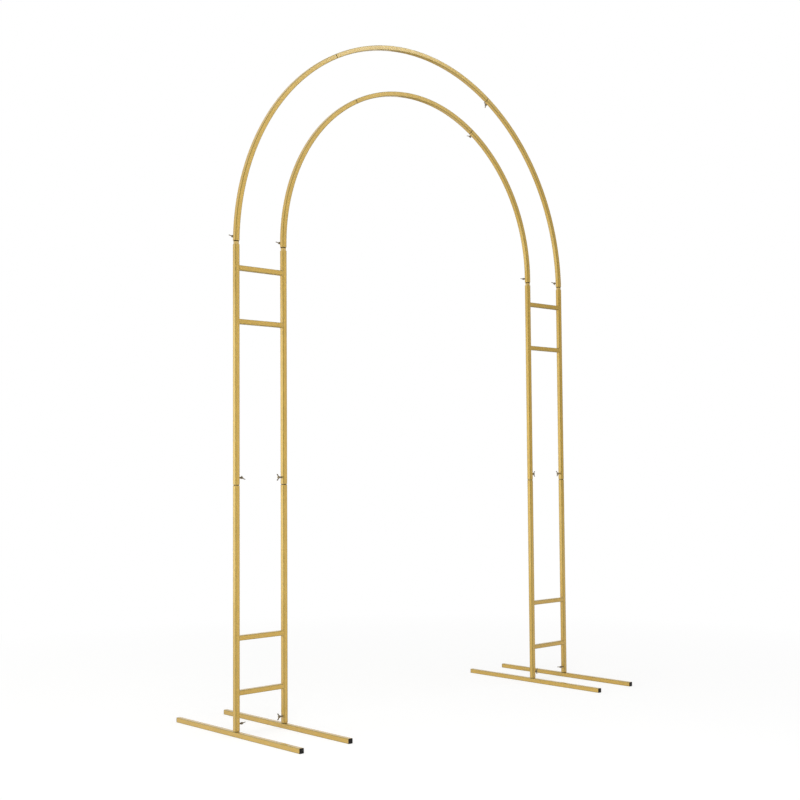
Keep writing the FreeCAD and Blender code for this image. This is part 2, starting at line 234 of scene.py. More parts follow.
# %% Floor
FLOOR_REACH = 14.0
FLOOR_TONE = {"lit": 0.82, "seen": 1.23}
GLOW_SPAN, GLOW_LEAST = (0.6, 2.6), 0.6
DARK_SPAN = (2.5, 4.5)
floor_mesh = bpy.data.meshes.new("floor")
corners = [(x * FLOOR_REACH, y * FLOOR_REACH, 0) for x, y in ((-1, -1), (1, -1), (1, 1), (-1, 1))]
floor_mesh.from_pydata(corners, [], [(0, 1, 2, 3)])
floor = new_object("floor", floor_mesh)

floor_paint = bpy.data.materials.new("white_floor")
floor_paint.use_nodes = True
tree = floor_paint.node_tree
tree.nodes.clear()
place = add(tree, "ShaderNodeTexCoord").outputs["Object"]
away = add(tree, "ShaderNodeVectorMath", {0: place}, operation="LENGTH").outputs["Value"]
seen = light_path_white(tree)
shade = span(tree, seen, 0.0, 1.0, FLOOR_TONE["lit"], FLOOR_TONE["seen"])
matt = add(tree, "ShaderNodeBsdfDiffuse", {"Color": shade})
mirrored = product(tree, span(tree, towards(tree, place, tuple(ahead)), *DARK_SPAN),
                   add(tree, "ShaderNodeLightPath").outputs["Is Glossy Ray"])
glow = span(tree, mirrored, 0.0, 1.0, 1.0, 1.0 - ROOM_SHADE)
white = add(tree, "ShaderNodeEmission", {"Color": (1, 1, 1, 1), "Strength": glow})
fade = product(tree, seen, span(tree, away, *GLOW_SPAN, GLOW_LEAST, 1.0))
shown = add(tree, "ShaderNodeMixShader", {0: fade, 1: matt, 2: white})
add(tree, "ShaderNodeOutputMaterial", {"Surface": shown})
floor_mesh.materials.append(floor_paint)
print("floor", 2 * FLOOR_REACH, "m wide")

# %% [markdown]
# ## Lamps
# Three large soft lamps light the arch, as in a studio for goods. The paint is a metallic gold
# with a satin gloss, so what each face mirrors matters as much as the light that falls on it.
# The left faces mirror a wide lamp behind them on the left, and come out the brightest. The
# lamp in front stands on the left, so the front faces of the near legs are brighter than those
# of the far legs, and one high above lights what faces up. Neither of those two is mirrored, so
# no face gets a white glint. A bright, cool card high on the right is the opposite: it lights
# nothing, and is mirrored by the front of the crown, which looks paler.

# %% Lamps
def lamp(name, place, target, width, height, power, tint=(1, 1, 1)):
    """A soft lamp that faces its target and that the camera doesn't see."""
    data = bpy.data.lights.new(name, "AREA")
    data.shape = "RECTANGLE"
    data.size = width
    data.size_y = height
    data.energy = power
    data.color = tint
    thing = new_object(name, data)
    look = Vector(target) - Vector(place)
    thing.location = place
    thing.rotation_euler = look.to_track_quat("-Z", "Y").to_euler()
    thing.visible_camera = False
    print(name, power, "W")
    return thing


lamp("lamp_left", (-3.4, 2.2, 0.9), (0, 0, 0.7), 2.4, 1.8, 23.5, (0.97, 1.0, 0.70))
front = lamp("lamp_front", (-2.5, -2.7, 1.2), (-0.2, 0, 0.9), 1.6, 1.6, 48)
front.visible_glossy = False
above = lamp("lamp_above", (-0.5, -0.5, 9.0), (0, 0, 0), 4.0, 4.0, 230)
above.visible_glossy = False
card = lamp("bright_card", (3.1, -3.3, 4.3), (0, 0, 4.3), 2.4, 1.2, 44, (0.75, 0.9, 1.0))
card.visible_diffuse = False

# %% [markdown]
# ## Effects that the finishes share
# Four effects are used by more than one finish. Each is a node group that puts out one value
# over the surface, and each finish gives it its own numbers.
# - The skin of powder paint, or of moulded plastic, is slightly uneven, like orange peel.
# - Dust settles on what faces up, more near the ground.
# - Fine scratches run in all directions where hands and tools have been.
# - Edges and cut ends wear first.

# %% Effects
def object_place(tree):
    return add(tree, "ShaderNodeTexCoord").outputs["Object"]


def noise(tree, scale, detail=2.0, rough=0.5, place=None):
    feeds = {"Vector": place or object_place(tree), "Scale": scale, "Detail": detail,
             "Roughness": rough}
    return add(tree, "ShaderNodeTexNoise", feeds)


def uneven_skin():
    """Height of a sprayed or moulded skin: broad soft waves and a finer grain on them."""
    tree, given, made = new_group("uneven_skin", "ShaderNodeTree",
                                  {"Wave scale": 400.0, "Grain scale": 2500.0, "Grain share": 0.3},
                                  {"Height": "Float"})
    waves = noise(tree, given["Wave scale"], 1.0)
    grain = noise(tree, given["Grain scale"], 2.0)
    fine = product(tree, grain, given["Grain share"])
    plug(tree, maths(tree, "ADD", waves, fine), made["Height"])
    return tree


def settled_dust():
    """How much dust lies on a spot: most on what faces up and near the ground, in patches."""
    tree, given, made = new_group("settled_dust", "ShaderNodeTree",
                                  {"Reach": 0.4, "Amount": 0.3}, {"Mask": "Float"})
    height = add(tree, "ShaderNodeSeparateXYZ", {0: object_place(tree)}).outputs["Z"]
    facing = add(tree, "ShaderNodeNewGeometry").outputs["Normal"]
    upward = add(tree, "ShaderNodeSeparateXYZ", {0: facing}).outputs["Z"]
    low = span(tree, maths(tree, "DIVIDE", height, given["Reach"]), 0.0, 1.0, 1.0, 0.15)
    lies = span(tree, upward, 0.2, 0.9, 0.15, 1.0)
    patches = span(tree, noise(tree, 45.0, 4.0, 0.6), 0.42, 0.62)
    plug(tree, product(tree, low, lies, patches, given["Amount"]), made["Mask"])
    return tree


def fine_scratches():
    """Thin lines in three directions, broken up so that few of them run far."""
    tree, given, made = new_group("fine_scratches", "ShaderNodeTree",
                                  {"Scale": 300.0, "Amount": 0.5}, {"Mask": "Float"})
    marks = None
    for angles in ((0.5, 0.2, 0.9), (1.9, 0.8, 0.3), (0.1, 2.3, 1.4)):
        turned = add(tree, "ShaderNodeMapping", {"Vector": object_place(tree), "Rotation": angles,
                                                 "Scale": (1.0, 14.0, 1.0)})
        lines = span(tree, noise(tree, given["Scale"], 1.0, 0.5, turned), 0.66, 0.72)
        marks = lines if marks is None else maths(tree, "MAXIMUM", marks, lines)
    broken = span(tree, noise(tree, 120.0), 0.45, 0.6)
    plug(tree, product(tree, marks, broken, given["Amount"]), made["Mask"])
    return tree


def worn_places():
    """Where paint wears: in spots along the corners, and round the cut ends of a tube."""
    tree, given, made = new_group("worn_places", "ShaderNodeTree",
                                  {"Corner": 0.0, "End gap": 1.0, "Amount": 0.5},
                                  {"Mask": "Float"})
    spots = noise(tree, 260.0, 4.0, 0.65)
    rub = product(tree, given["Corner"], span(tree, spots, 0.66, 0.74))
    near = span(tree, given["End gap"], 0.0, 1.2 * MM, 1.0, 0.0)
    chips = product(tree, near, span(tree, spots, 0.5, 0.58))
    worn = product(tree, maths(tree, "MAXIMUM", rub, chips), given["Amount"])
    plug(tree, worn, made["Mask"])
    return tree


SKIN, DUST, SCRATCHES, WEAR = uneven_skin(), settled_dust(), fine_scratches(), worn_places()
print("effects:", SKIN.name, DUST.name, SCRATCHES.name, WEAR.name)

# %% [markdown]
# ## Gold paint
# The tubes are powder coated in a metallic gold. Powder is dusted on dry and baked, which leaves
# a satin film with a faint orange peel and fine bright flakes in it. The corners of the tube are
# painted darker and greener, as a painted dark reflection, and the film also pulls thin there.
# Some of the flakes are metal, so the finish is a mix of paint and metal. The spigots are painted
# a little paler, as a painted highlight. The cut end of a tube is dark, as bare steel and painted
# shade, and so is the part of a spigot close to the tube that slides over it, as painted shade in
# the narrow gap.

# %% Gold paint
def effect(tree, group, **feeds):
    """Places a shared effect in a material, with its own values."""
    node = add(tree, "ShaderNodeGroup", node_tree=group)
    for name, feed in feeds.items():
        plug(tree, feed, node.inputs[name.replace("_", " ")])
    return node


def blend(tree, share, first, second):
    """Mixes two colours."""
    node = add(tree, "ShaderNodeMix", data_type="RGBA")
    for name, feed in (("Factor_Float", share), ("A_Color", first), ("B_Color", second)):
        plug(tree, feed, next(entry for entry in node.inputs if entry.identifier == name))
    return next(entry for entry in node.outputs if entry.identifier == "Result_Color")


def new_finish(name, **settings):
    """Starts a finish with a plain Principled shader and its fixed values."""
    paint = bpy.data.materials.new(name)
    paint.use_nodes = True
    shader = paint.node_tree.nodes["Principled BSDF"]
    for label, setting in settings.items():
        shader.inputs[label.replace("_", " ")].default_value = setting
    return paint, paint.node_tree, shader.inputs


def bumpy_skin(tree, shader, distance, strength, **sizes):
    """Lays the uneven skin on a finish as a bump."""
    feeds = {"Height": effect(tree, SKIN, **sizes), "Distance": distance, "Strength": strength}
    plug(tree, add(tree, "ShaderNodeBump", feeds), shader["Normal"])


def surface_data(tree, name):
    """Reads a value that the geometry nodes stored on the surface."""
    return add(tree, "ShaderNodeAttribute", attribute_name=name).outputs["Fac"]


CORNER_SPAN = (4.8 * MM, 6.7 * MM)
FILM_DEEP, FILM_LIGHT = (0.59, 0.37, 0.055, 1), (0.65, 0.41, 0.067, 1)
# The thin tone is painted on the corners as a painted dark reflection; the film also pulls thin
# there.
SPIGOT_HIGHLIGHT_TONE, CORNER_REFLECTION_TONE = (0.86, 0.74, 0.50, 1), (0.28, 0.20, 0.012, 1)
FLAKE, PRIMER = (0.88, 0.68, 0.34, 1), (0.42, 0.36, 0.27, 1)
# The dark tone is painted shade in the narrow joint gaps, and bare steel with painted shade at cut
# ends.
DUST_TONE, CUT_END_AND_SHADE_TONE = (0.56, 0.50, 0.40, 1), (0.035, 0.022, 0.008, 1)


def corner_share(tree):
    """How near a spot is to a corner of the tube: 0 on the flat of a face, and 1 on the corner."""
    place = add(tree, "ShaderNodeAttribute", attribute_name="section").outputs["Vector"]
    across = add(tree, "ShaderNodeSeparateXYZ", {0: place}).outputs
    least = maths(tree, "MINIMUM", maths(tree, "ABSOLUTE", across["X"]),
                  maths(tree, "ABSOLUTE", across["Y"]))
    return span(tree, least, *CORNER_SPAN)


def gold_paint(name, distance, highlight_share=0.0):
    """The film and what lies on it, each layer a share of a colour over the last."""
    paint, tree, shader = new_finish(name, Metallic=0.2, Coat_Roughness=0.1)
    corner = corner_share(tree)
    end_gap = surface_data(tree, "end_gap")
    clouds = span(tree, noise(tree, 9.0, 3.0), 0.3, 0.7)
    film = blend(tree, clouds, FILM_DEEP, FILM_LIGHT)
    flakes = span(tree, noise(tree, 3800.0, 0.0), 0.62, 0.8)
    worn = effect(tree, WEAR, Corner=corner, End_gap=end_gap, Amount=0.7)
    dust = effect(tree, DUST, Reach=0.5, Amount=0.28)
    # Painted shade: darkest at the cut ends and beside the ends of sliding tubes, where the gaps
    # are narrow.
    dark = maths(tree, "MAXIMUM", surface_data(tree, "cut_end"), surface_data(tree, "gap_shade"))
    # Layers of painted light: a painted highlight on spigots, and a painted dark reflection on
    # corners.
    for share, tone in ((highlight_share, SPIGOT_HIGHLIGHT_TONE), (product(tree, flakes, 0.35), FLAKE),
                        (product(tree, corner, 0.9), CORNER_REFLECTION_TONE), (worn, PRIMER),
                        (dust, DUST_TONE), (product(tree, dark, 0.95), CUT_END_AND_SHADE_TONE)):
        film = blend(tree, share, film, tone)
    plug(tree, film, shader["Base Color"])
    gloss = maths(tree, "SUBTRACT", 1.0, dark)
    plug(tree, product(tree, gloss, 0.55), shader["Coat Weight"])
    plug(tree, product(tree, gloss, 0.5), shader["Specular IOR Level"])
    satin = span(tree, noise(tree, 70.0, 3.0), 0.3, 0.7, 0.34, 0.42)
    plug(tree, maths(tree, "ADD", satin, product(tree, dust, 0.4)), shader["Roughness"])
    bumpy_skin(tree, shader, distance, 0.5, Wave_scale=420.0, Grain_scale=2600.0, Grain_share=0.3)
    return paint


GOLD = gold_paint("gold_powder_paint", 0.05 * MM)
# The spigots are painted a little paler all over, as a painted highlight.
SPIGOT_GOLD = gold_paint("gold_spigot_paint", 0.03 * MM, highlight_share=0.15)
print("finishes:", GOLD.name, SPIGOT_GOLD.name)

# %% [markdown]
# ## Dark steel and black plastic
# The wing screws are small castings with a dark plating that has gone a little brown, rubbed
# lighter where fingers turn them. The caps of the foot bars are moulded plastic with a matt
# spark-eroded grain, and they stand on the ground, so dust shows on them.

# %% Dark steel and black plastic
PLATING_DARK, PLATING_BROWN = (0.17, 0.137, 0.093, 1), (0.30, 0.248, 0.174, 1)
BARE_STEEL = (0.42, 0.40, 0.37, 1)
PLASTIC_DARK, PLASTIC_LIGHT = (0.006, 0.005, 0.004, 1), (0.013, 0.011, 0.009, 1)
SCUFF, GREY_DUST = (0.05, 0.047, 0.043, 1), (0.25, 0.23, 0.20, 1)


def dark_steel():
    paint, tree, shader = new_finish("dark_zinc_steel", Metallic=0.85)
    clouds = span(tree, noise(tree, 500.0, 3.0), 0.35, 0.65)
    tone = blend(tree, clouds, PLATING_DARK, PLATING_BROWN)
    marks = effect(tree, SCRATCHES, Scale=700.0, Amount=0.6)
    tone = blend(tree, marks, tone, BARE_STEEL)
    plug(tree, tone, shader["Base Color"])
    satin = span(tree, noise(tree, 900.0, 2.0), 0.3, 0.7, 0.34, 0.5)
    plug(tree, satin, shader["Roughness"])
    bumpy_skin(tree, shader, 0.04 * MM, 0.5, Wave_scale=900.0, Grain_scale=4000.0, Grain_share=0.5)
    return paint


def black_plastic():
    paint, tree, shader = new_finish("moulded_black_plastic", Metallic=0.0, Specular_IOR_Level=0.2)
    tone = blend(tree, noise(tree, 160.0, 3.0), PLASTIC_DARK, PLASTIC_LIGHT)
    marks = effect(tree, SCRATCHES, Scale=420.0, Amount=0.35)
    tone = blend(tree, marks, tone, SCUFF)
    tone = blend(tree, effect(tree, DUST, Reach=0.3, Amount=0.12), tone, GREY_DUST)
    plug(tree, tone, shader["Base Color"])
    plug(tree, span(tree, marks, 0.0, 1.0, 0.52, 0.7), shader["Roughness"])
    bumpy_skin(tree, shader, 0.03 * MM, 0.6, Wave_scale=1500.0, Grain_scale=6000.0, Grain_share=0.8)
    return paint


STEEL, PLASTIC = dark_steel(), black_plastic()
print("finishes:", STEEL.name, PLASTIC.name)

# %% [markdown]
# ## The square tube
# Every long piece of the arch is the same thing: square tube with rounded corners, straight or
# bent. In the factory a strip is rolled into shape and welded shut. Here one tree of geometry
# nodes does it: a path is swept by the outside of the section and by its bore, and a thin ring
# closes each cut end. Three things are stored on the way for the paint: where a point lies in
# the section, how far it is from the end of the tube, and which faces are cut ends.

# %% The tree for a square tube
SHARP_BEND = math.radians(40)
SAME_SPOT = 0.002 * MM


def shaded(tree, geometry, finish):
    """Smooth faces with sharp cut edges, and their finish."""
    smooth = add(tree, "GeometryNodeSetShadeSmooth", {"Geometry": geometry})
    bends = add(tree, "GeometryNodeInputMeshEdgeAngle").outputs["Unsigned Angle"]
    sharp = maths(tree, "GREATER_THAN", bends, SHARP_BEND)
    feeds = {"Geometry": smooth, "Selection": sharp, "Shade Smooth": False}
    edges = add(tree, "GeometryNodeSetShadeSmooth", feeds, domain="EDGE")
    return add(tree, "GeometryNodeSetMaterial", {"Geometry": edges, "Material": finish})


def store(tree, geometry, name, value, **settings):
    """Keeps a value on the surface under a name."""
    feeds = {"Geometry": geometry, "Name": name, "Value": value}
    return add(tree, "GeometryNodeStoreNamedAttribute", feeds, **settings)


def rounded_square(tree, side, corner, points):
    """Outline of a square with rounded corners, about the origin."""
    plain = add(tree, "GeometryNodeCurvePrimitiveQuadrilateral", {"Width": side, "Height": side})
    feeds = {"Curve": plain, "Count": points, "Radius": corner}
    return add(tree, "GeometryNodeFilletCurve", feeds, mode="POLY")


def square_tube_tree():
    """Sweeps the section of a tube along paths, with a bore and closed cut ends."""
    tree, given, made = new_group(
        "square_tube", "GeometryNodeTree",
        {"Path": "Geometry", "Side": TUBE["Side"], "Wall": TUBE["Wall"],
         "Corner": TUBE["Corner"], "Corner points": 5, "Finish": "Material"}, {"Tube": "Geometry"})
    path = add(tree, "GeometryNodeMeshToCurve", {"Mesh": given["Path"]})
    run = add(tree, "GeometryNodeSplineParameter").outputs["Length"]
    rest = maths(tree, "SUBTRACT", add(tree, "GeometryNodeSplineLength").outputs["Length"], run)
    path = store(tree, path, "end_gap", maths(tree, "MINIMUM", run, rest))

    outline = rounded_square(tree, given["Side"], given["Corner"], given["Corner points"])
    spot = add(tree, "GeometryNodeInputPosition")
    outline = store(tree, outline, "section", spot, data_type="FLOAT_VECTOR")
    bore_side = maths(tree, "SUBTRACT", given["Side"], product(tree, given["Wall"], 2.0))
    bore = rounded_square(tree, bore_side, maths(tree, "SUBTRACT", given["Corner"], given["Wall"]),
                          given["Corner points"])

    skin = add(tree, "GeometryNodeCurveToMesh", {"Curve": path, "Profile Curve": outline})
    lining = add(tree, "GeometryNodeCurveToMesh", {"Curve": path, "Profile Curve": bore})
    lining = add(tree, "GeometryNodeFlipFaces", {0: lining})
    both = add(tree, "GeometryNodeJoinGeometry", {0: [outline, bore]})
    ring = add(tree, "GeometryNodeFillCurve", {"Curve": both})
    ring = store(tree, ring, "cut_end", 1.0, domain="FACE")
    back = add(tree, "GeometryNodeFlipFaces", {0: ring})
    facing = add(tree, "FunctionNodeAxesToRotation", {
        "Primary Axis": add(tree, "GeometryNodeInputTangent"),
        "Secondary Axis": add(tree, "GeometryNodeInputNormal")})
    rims = []
    for face, start, end in ((back, 1, 0), (ring, 0, 1)):
        chosen = add(tree, "GeometryNodeCurveEndpointSelection", {"Start Size": start,
                                                                  "End Size": end})
        rims.append(add(tree, "GeometryNodeInstanceOnPoints", {
            "Points": path, "Selection": chosen, "Instance": face, "Rotation": facing}))
    whole = add(tree, "GeometryNodeJoinGeometry", {0: [skin, lining] + rims})
    real = add(tree, "GeometryNodeRealizeInstances", {0: whole})
    closed = add(tree, "GeometryNodeMergeByDistance", {"Geometry": real, "Distance": SAME_SPOT})
    plug(tree, shaded(tree, closed, given["Finish"]), made["Tube"])
    return tree


SQUARE_TUBE = square_tube_tree()
print("tree:", SQUARE_TUBE.name, len(SQUARE_TUBE.nodes), "nodes")

# %% [markdown]
# ## Drilled holes
# Each tube that slides over a spigot has one hole near its end, in a single wall, for the wing
# screw. It is drilled after the tube is made, so it has a tree of its own that cuts a round bar
# out of what it is given. A tube with two screws goes through it twice.

# %% The tree for a drilled hole
def drilled_hole_tree():
    """Cuts a round bar out of a tube."""
    tree, given, made = new_group(
        "drilled_hole", "GeometryNodeTree",
        {"Tube": "Geometry", "Place": "Vector", "Along": "Vector", "Radius": HOLE_RADIUS,
         "Depth": 6 * MM, "Finish": "Material"}, {"Tube": "Geometry"})
    bar = add(tree, "GeometryNodeMeshCylinder", {"Vertices": 24, "Radius": given["Radius"],
                                                 "Depth": given["Depth"]})
    facing = add(tree, "FunctionNodeAxesToRotation", {"Primary Axis": given["Along"],
                                                      "Secondary Axis": (0, 0, 1)})
    placed = add(tree, "GeometryNodeTransform", {"Geometry": bar, "Translation": given["Place"],
                                                 "Rotation": facing})
    cut = add(tree, "GeometryNodeMeshBoolean", {"Mesh 1": given["Tube"], "Mesh 2": placed},
              operation="DIFFERENCE", solver="EXACT")
    plug(tree, shaded(tree, cut, given["Finish"]), made["Tube"])
    return tree


DRILLED_HOLE = drilled_hole_tree()
print("tree:", DRILLED_HOLE.name)

# %% [markdown]
# ## From a tree to a piece
# A tree works on an object with the path as its mesh. What it makes is turned into a plain mesh,
# the modifiers go, and the finished piece stands at the origin with its place in its mesh. It
# rides on the one rigid body of the arch, and stands for the plain solid with its name.

# %% Making pieces
def use_tree(thing, tree, values):
    """Adds a tree to an object and sets its inputs by their identifiers."""
    modifier = thing.modifiers.new(tree.name, "NODES")
    modifier.node_group = tree
    for item in tree.interface.items_tree:
        if item.in_out == "INPUT" and item.name in values:
            modifier[item.identifier] = values[item.name]


def path_object(name, paths, closed=False, gap_shade=None):
    """Object whose mesh is one chain of edges for each path, with the painted shade on each point.
    """
    points, edges = [], []
    for path in paths:
        first = len(points)
        points += path
        edges += [(first + step, first + step + 1) for step in range(len(path) - 1)]
        if closed:
            edges.append((len(points) - 1, first))
    mesh = bpy.data.meshes.new(name)
    mesh.from_pydata(points, edges, [])
    if gap_shade:
        mesh.attributes.new("gap_shade", "FLOAT", "POINT").data.foreach_set("value", gap_shade)
    return new_object(name, mesh)


def plain_piece(thing, name):
    """Turns what the modifiers of an object make into a plain mesh, and drops the object."""
    graph = bpy.context.evaluated_depsgraph_get()
    mesh = bpy.data.meshes.new_from_object(thing.evaluated_get(graph), depsgraph=graph,
                                           preserve_all_data_layers=True)
    bpy.data.objects.remove(thing)
    mesh.name = name
    return new_object(name, mesh)


def even_normals(thing):
    """Keeps the shading of the flat faces flat, beside their rounded corners."""
    thing.modifiers.new("even_normals", "WEIGHTED_NORMAL").keep_sharp = True


def set_up(piece, slot, *nodes):
    """Gives a piece its body and the solids that it stands for. The slot is not used."""
    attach(piece, "root")
    if nodes:
        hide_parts(*nodes)


def tube(name, paths, section, holes=(), gap_shade=None, finish=GOLD):
    """Square tubes along the paths, each hole given by its place and direction."""
    thing = path_object(name + "_path", paths, gap_shade=gap_shade)
    use_tree(thing, SQUARE_TUBE, dict(section, Finish=finish))
    for place, along in holes:
        use_tree(thing, DRILLED_HOLE, {"Place": place, "Along": along, "Finish": GOLD})
    even_normals(thing)
    piece = plain_piece(thing, name)
    set_up(piece, "gold_paint", name)
    return len(piece.data.polygons)


print("makers ready")

# %% [markdown]
# ## Straight tubes
# The uprights, rungs and foot bars are straight. The box of each solid gives both ends of its
# path. The path has a point every few centimetres, so that the values for the paint change
# only near the ends.

# %% Straight tubes
RUNG_LEVELS = ("low", "knee", "chest", "high")
RUN = 40 * MM
END_RUN = 1.5 * MM


def parts(length, run):
    """Where the points of a path are, from 0 to 1: evenly, and one more close to each end."""
    steps = max(2, round(length / run))
    close = END_RUN / length
    return [0.0, close] + [step / steps for step in range(1, steps)] + [1.0 - close, 1.0]


def straight_path(node):
    """Middle line of a straight tube, from the box of its solid."""
    low, high = (Vector(corner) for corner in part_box(node))
    axis = max(range(3), key=lambda number: high[number] - low[number])
    start, end = (low + high) / 2, (low + high) / 2
    start[axis], end[axis] = low[axis], high[axis]
    return [start.lerp(end, part) for part in parts((end - start).length, RUN)]


def towards_partner(ring, side):
    """Which way along X the other leg of a ladder stands."""
    return -side if ring == "outer" else side


faces = 0
for side_name, side in SIDES.items():
    for ring in RINGS:
        where = "%s_%s" % (side_name, ring)
        faces += tube("foot_bar_" + where, [straight_path("foot_bar_" + where)], TUBE)
        inwards = towards_partner(ring, side)
        for level in ("lower", "upper"):
            node = "%s_upright_%s" % (level, where)
            path = straight_path(node)
            place = path[0] + Vector((inwards * TUBE["Side"] / 2, 0, JOINT_SCREW))
            faces += tube(node, [path], TUBE, [(place, (inwards, 0, 0))])
    for level in RUNG_LEVELS:
        node = "rung_%s_%s" % (side_name, level)
        faces += tube(node, [straight_path(node)], TUBE)
print("straight tubes:", faces, "faces")

# %% [markdown]
# ## Bent tubes
# Each arch is rolled from the same tube in three segments: two sides and a crown. The bend is an
# exact circle round a point between the legs. The inner arch has a short straight stretch
# below its bend. The paths are points on the circle, one for each degree or so.

# %% Bent tubes
BEND_STEP = math.radians(1.2)


def on_leg(ring, side, height):
    """Point of the middle line of a leg."""
    return Vector((side * HALF[ring], 0, height))


def on_arch(ring, side, angle, away=0.0):
    """Point of the middle line of an arch, at an angle above the ground on one side."""
    return Vector((side * HALF[ring] * math.cos(angle), away,
                   CENTRE[ring] + HALF[ring] * math.sin(angle)))


def arc(ring, side, start, end):
    """Points along the bend from one angle to another."""
    turn = end - start
    return [on_arch(ring, side, start + turn * part)
            for part in parts(turn * HALF[ring], BEND_STEP * HALF[ring])]


def low_screw_angle(ring):
    return (SPRING_GAP + SPRING_SCREW - LIFT[ring]) / HALF[ring]


def high_screw_angle(ring):
    return CROWN - (CROWN_GAP / 2 + JOINT_SCREW) / HALF[ring]


faces = 0
for ring in RINGS:
    joint = CROWN_GAP / 2 / HALF[ring]
    start = 0.0 if LIFT[ring] else SPRING_GAP / HALF[ring]
    for side_name, side in SIDES.items():
        path = arc(ring, side, start, CROWN - joint)
        if LIFT[ring]:
            foot = on_leg(ring, side, SPRING + SPRING_GAP)
            path = [foot, foot + Vector((0, 0, END_RUN))] + path
        holes = [(on_arch(ring, side, angle, TUBE["Side"] / 2), (0, 1, 0))
                 for angle in (low_screw_angle(ring), high_screw_angle(ring))]
        faces += tube("arch_%s_%s" % (ring, side_name), [path], TUBE, holes)
    crown = arc(ring, 1, CROWN + joint, math.pi - CROWN - joint)
    faces += tube("arch_%s_crown" % ring, [crown], TUBE)
print("bent tubes:", faces, "faces")

# %% [markdown]
# ## Spigots
# A spigot is a shorter, narrower square tube, fixed in one tube and sliding into the next. A few
# millimetres of each show at the joints. They are made by the same tree as the tubes, four at a
# time, because a tree takes any number of paths. Each point of a path carries how much painted
# shade of the narrow gap it gets: black beside the end of the sliding tube, and none from about
# 3 mm away.

# %% Spigots
SHADED_RUN = 2.5 * MM
FADE_RUN = 0.7 * MM
STOPS = [stop * MM for stop in (-30, -20, -12.5, -3.2, -2.5, 5, 12.5, 20, 30)]
foot_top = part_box("foot_spigots")[0][2]
mid_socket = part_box("mid_spigots")[0][2] + SPIGOT_DEPTH + MID_GAP


def foot_place(ring, side, run):
    return on_leg(ring, side, foot_top + FOOT_GAP + run)


def mid_place(ring, side, run):
    return on_leg(ring, side, mid_socket + run)


def spring_place(ring, side, run):
    up = SPRING_GAP + run - LIFT[ring]
    if up <= 0:
        return on_leg(ring, side, CENTRE[ring] + up)
    return on_arch(ring, side, up / HALF[ring])


def crown_place(ring, side, run):
    return on_arch(ring, side, CROWN - (CROWN_GAP / 2 + run) / HALF[ring])


def spigots(name, place, below):
    """Four spigots. A run along one is counted from the end of the tube that slides over it."""
    runs = [-below] + [stop for stop in STOPS if stop > -below] + [SPIGOT_DEPTH]
    paths = [[place(ring, side, run) for run in runs] for side, ring in LEGS]
    # The painted shade of the gap: full beside the end of the sliding tube, fading out further
    # along.
    gap_shade = [min(1.0, max(0.0, 1.0 + (run + SHADED_RUN) / FADE_RUN)) for run in runs] * len(LEGS)
    print(name, tube(name, paths, SPIGOT, gap_shade=gap_shade, finish=SPIGOT_GOLD), "faces")


spigots("foot_spigots", foot_place, FOOT_GAP)
spigots("mid_spigots", mid_place, SPIGOT_DEPTH + MID_GAP)
spigots("spring_spigots", spring_place, SPIGOT_DEPTH + SPRING_GAP)
spigots("crown_spigots", crown_place, SPIGOT_DEPTH + CROWN_GAP)

# %% [markdown]
# ## Welds
# The rungs are welded between the uprights, and each foot spigot onto its bar. A weld is laid as
# a row of small overlapping drops, and the paint covers it. A round bead is swept round each
# joint, and its thickness swells and shrinks along the way, with some noise, as a hand leaves
# it. On the front and back of a rung the bead lies in the groove that the round corner of the
# upright leaves. The beads at the feet lie in the gap under the uprights, and are painted dark
# all over, as painted shade in that gap.

# %% Welds
RUNG_BEAD = 1.1 * MM
FOOT_BEAD = 0.9 * MM
GROOVE = 6.7 * MM
CORNER_POINTS = 5


def weld_tree():
    """Sweeps a round bead along closed paths, thicker and thinner as the drops follow."""
    tree, given, made = new_group(
        "weld_bead", "GeometryNodeTree",
        {"Joint": "Geometry", "Radius": RUNG_BEAD, "Drop": 1.5 * MM, "Swell": 0.12, "Seed": 4.0,
         "Finish": "Material"}, {"Bead": "Geometry"})
    path = add(tree, "GeometryNodeMeshToCurve", {"Mesh": given["Joint"]})
    step = maths(tree, "DIVIDE", given["Drop"], 5.0)
    path = add(tree, "GeometryNodeResampleCurve", {"Curve": path, "Length": step}, mode="LENGTH")
    run = add(tree, "GeometryNodeSplineParameter").outputs["Length"]
    drops = maths(tree, "SINE", product(tree, maths(tree, "DIVIDE", run, given["Drop"]), math.tau))
    place = add(tree, "GeometryNodeInputPosition")
    uneven = add(tree, "ShaderNodeTexNoise", {"Vector": place, "W": given["Seed"], "Scale": 500.0},
                 noise_dimensions="4D")
    swell = product(tree, drops, given["Swell"])
    size = maths(tree, "ADD", maths(tree, "ADD", swell, 0.8), product(tree, uneven, 0.4))
    round_bar = add(tree, "GeometryNodeCurvePrimitiveCircle", {"Resolution": 8,
                                                               "Radius": given["Radius"]})
    bead = add(tree, "GeometryNodeCurveToMesh", {"Curve": path, "Scale": size,
                                                 "Profile Curve": round_bar})
    plug(tree, shaded(tree, bead, given["Finish"]), made["Bead"])
    return tree


WELD = weld_tree()


def rounded_corners(half_along, half_across, corner):
    """Points round a rectangle with rounded corners, about its middle."""
    points = []
    for quarter, (a, b) in enumerate(((1, 1), (-1, 1), (-1, -1), (1, -1))):
        for step in range(CORNER_POINTS):
            angle = math.pi / 2 * (quarter + step / (CORNER_POINTS - 1))
            points.append((a * (half_along - corner) + corner * math.cos(angle),
                           b * (half_across - corner) + corner * math.sin(angle)))
    return points


def loop(centre, first, second, half_first, half_second, corner):
    """Closed path round a joint, in the plane of two directions."""
    return [centre + along * first + across * second
            for along, across in rounded_corners(half_first, half_second, corner)]


def welds(name, joints, radius, gap_shade=0.0):
    """Beads round the joints, as one piece."""
    gap_shading = [gap_shade] * sum(len(joint) for joint in joints)
    thing = path_object(name + "_path", joints, closed=True, gap_shade=gap_shading)
    use_tree(thing, WELD, {"Radius": radius, "Finish": GOLD})
    piece = plain_piece(thing, name)
    set_up(piece, "gold_paint")
    print(name, len(joints), "beads,", len(piece.data.polygons), "faces")


